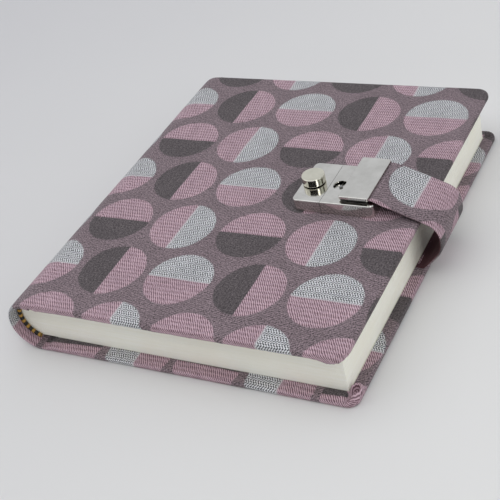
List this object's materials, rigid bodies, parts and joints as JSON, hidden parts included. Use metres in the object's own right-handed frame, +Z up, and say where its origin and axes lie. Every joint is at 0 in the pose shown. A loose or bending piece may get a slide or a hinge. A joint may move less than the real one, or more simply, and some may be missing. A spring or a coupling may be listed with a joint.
{
  "type": "diary with lock",
  "caption": "Cloth-covered case-bound diary, closed by a cloth strap whose folded metal hasp locks into a small nickel clasp with a sliding knob and a keyhole.",
  "frame": {"origin": "under the middle of the closed diary, on the surface it lies on", "axes": "+X from the spine to the fore edge and strap, +Y from the tail to the head along the spine, +Z up through the front cover"},
  "size_m": [0.168, 0.183, 0.036],
  "materials": {
    "cover_cloth": "woven cloth with large split dots in charcoal, dusty pink and silver",
    "strap_cloth": "the same woven cloth, folded and glued",
    "board": "grey pressed board; wood stands in for cardboard",
    "card": "thin card; wood stands in for cardboard",
    "paper": "uncoated cream paper; wood stands in for paper",
    "lining": "open gauze and cotton tape",
    "band_thread": "black and old gold striped cotton band",
    "nickel": "polished nickel plate",
    "inner_steel": "plain plated steel"
  },
  "bodies": {
    "book": {"back_board": "board", "back_cover_cloth": "cover_cloth", "back_infill": "card", "back_pastedown": "paper", "spine_cloth": "cover_cloth", "spine_card": "card", "mull": "lining", "sewing_tapes": "lining", "head_band": "band_thread", "tail_band": "band_thread", "back_flyleaf": "paper", "front_section_folds": "paper", "back_section_1": "paper", "back_section_2": "paper", "back_section_3": "paper", "back_section_4": "paper", "back_section_5": "paper", "strap_tail": "strap_cloth"},
    "front_cover": {"front_board": "board", "front_cover_cloth": "cover_cloth", "front_infill": "card", "front_pastedown": "paper", "lock_base": "inner_steel", "lock_case": "nickel", "lock_rivets": "inner_steel", "lock_rivet_washers": "inner_steel", "key_post": "inner_steel", "spring_post": "inner_steel", "latch_spring": "inner_steel"},
    "front_pages": {"front_flyleaf": "paper", "front_leaves_1": "paper", "front_leaves_2": "paper", "front_leaves_3": "paper", "front_leaves_4": "paper", "front_leaves_5": "paper"},
    "strap_lower": {"strap_bend": "strap_cloth"},
    "strap_upper": {"strap_end": "strap_cloth", "strap_stiffener": "card", "hasp_plate": "nickel", "hasp_base": "inner_steel", "hasp_hook": "inner_steel", "hasp_rivets": "inner_steel"},
    "lock_slide": {"release_slide": "nickel", "knob": "nickel", "knob_stud": "inner_steel", "latch_bolt": "inner_steel"},
    "key_cam": {"key_cam": "inner_steel"}
  },
  "joints": [
    {"name": "cover_open", "type": "hinge", "parent": "book", "child": "front_cover", "pos_m": [-0.06995, 0, 0.0262], "axis": [0, -1, 0], "range_deg": [0, 175]},
    {"name": "pages_turn", "type": "hinge", "parent": "book", "child": "front_pages", "pos_m": [-0.06995, 0, 0.0262], "axis": [0, -1, 0], "range_deg": [0, 169.8]},
    {"name": "hasp_lift", "type": "hinge", "parent": "strap_lower", "child": "strap_upper", "pos_m": [0.07764, 0, 0.02735], "axis": [0, 1, 0], "range_deg": [0, 110]},
    {"name": "strap_fold", "type": "hinge", "parent": "book", "child": "strap_lower", "pos_m": [0.07656, 0, 0.00417], "axis": [0, 1, 0], "range_deg": [0, 27.6]},
    {"name": "knob_slide", "type": "slide", "parent": "front_cover", "child": "lock_slide", "axis": [-1, 0, 0], "range_m": [0, 0.003], "stiffness_N_per_m": 300, "springref_m": -0.002, "deforming": ["latch_spring"]},
    {"name": "key_turn", "type": "hinge", "parent": "front_cover", "child": "key_cam", "pos_m": [0.03655, 0.0014, 0.0299], "axis": [0, 0, -1], "range_deg": [0, 41.85]}
  ],
  "couplings": [
    {"joint": "pages_turn", "follows": "cover_open", "ratio": 0.97},
    {"joint": "strap_fold", "follows": "hasp_lift", "ratio": 0.25},
    {"joint": "key_turn", "follows": "knob_slide", "rad_per_m": 243.47}
  ]
}
